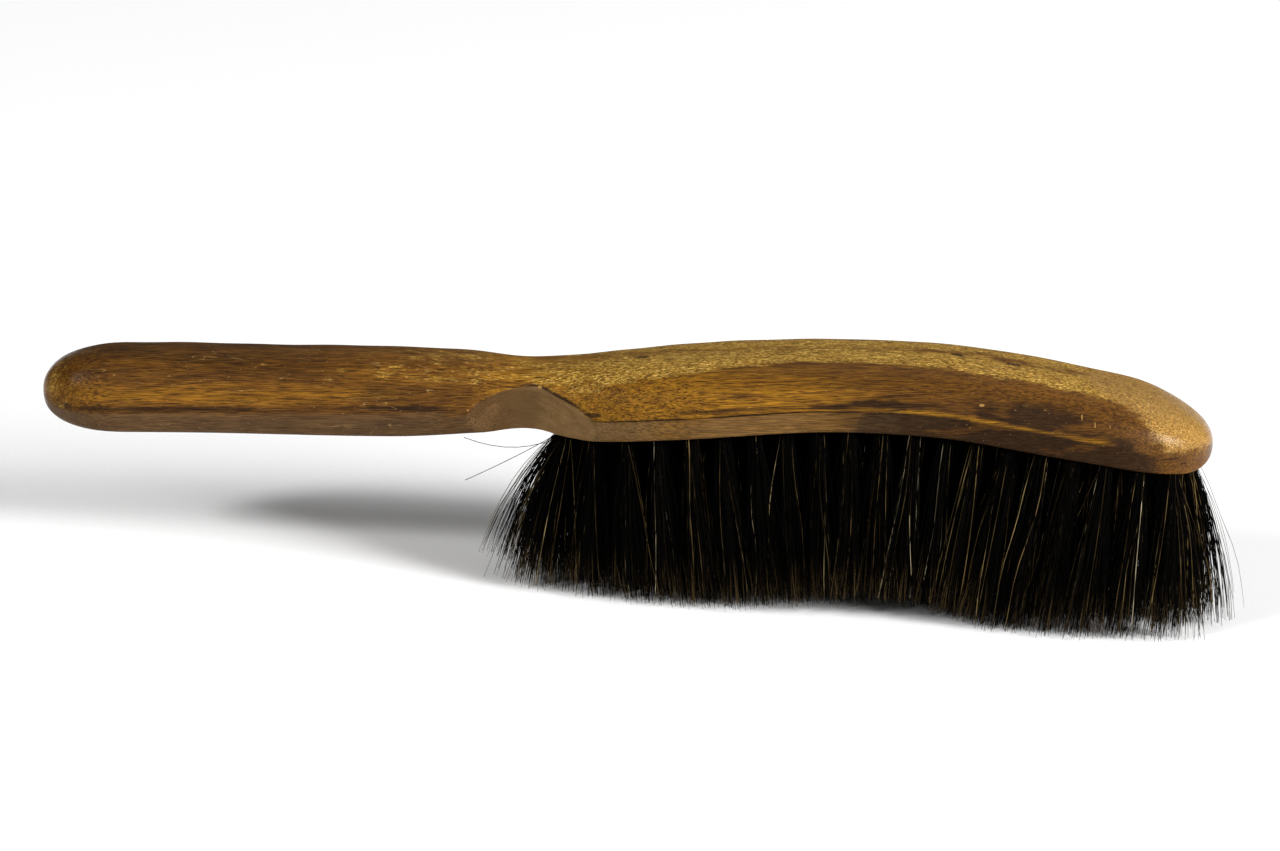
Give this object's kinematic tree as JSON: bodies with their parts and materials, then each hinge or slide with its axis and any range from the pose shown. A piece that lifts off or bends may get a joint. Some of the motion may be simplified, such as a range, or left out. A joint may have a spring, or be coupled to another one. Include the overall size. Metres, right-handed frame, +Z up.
{
  "type": "clothes brush",
  "caption": "Handled clothes brush with a wooden back and an arched head, on a drilled board filled with long dark horsehair tufts.",
  "frame": {"origin": "middle of the outline on the surface that the bristle tips stand on", "axes": "+X along the brush from the handle's end towards the nose, +Y across the head, +Z up from the bristle tips to the back"},
  "size_m": [0.324, 0.0496, 0.0697],
  "materials": {
    "back_wood": "worn stained and polished",
    "board_wood": "plain stained",
    "bristle": "dark horsehair",
    "wire": "drawn"
  },
  "bodies": {
    "root": {"back_and_handle": "back_wood", "bristle_board": "board_wood", "drawing_wire_1": "wire", "drawing_wire_2": "wire", "drawing_wire_3": "wire", "drawing_wire_4": "wire", "drawing_wire_5": "wire", "bristle_rank_01": "bristle", "bristle_rank_02": "bristle", "bristle_rank_03": "bristle", "bristle_rank_04": "bristle", "bristle_rank_05": "bristle", "bristle_rank_06": "bristle", "bristle_rank_07": "bristle", "bristle_rank_08": "bristle", "bristle_rank_09": "bristle", "bristle_rank_10": "bristle", "bristle_rank_11": "bristle", "bristle_rank_12": "bristle", "bristle_rank_13": "bristle", "bristle_rank_14": "bristle", "bristle_rank_15": "bristle", "bristle_rank_16": "bristle", "bristle_rank_17": "bristle", "bristle_rank_18": "bristle", "bristle_rank_19": "bristle", "bristle_rank_20": "bristle"}
  },
  "joints": []
}
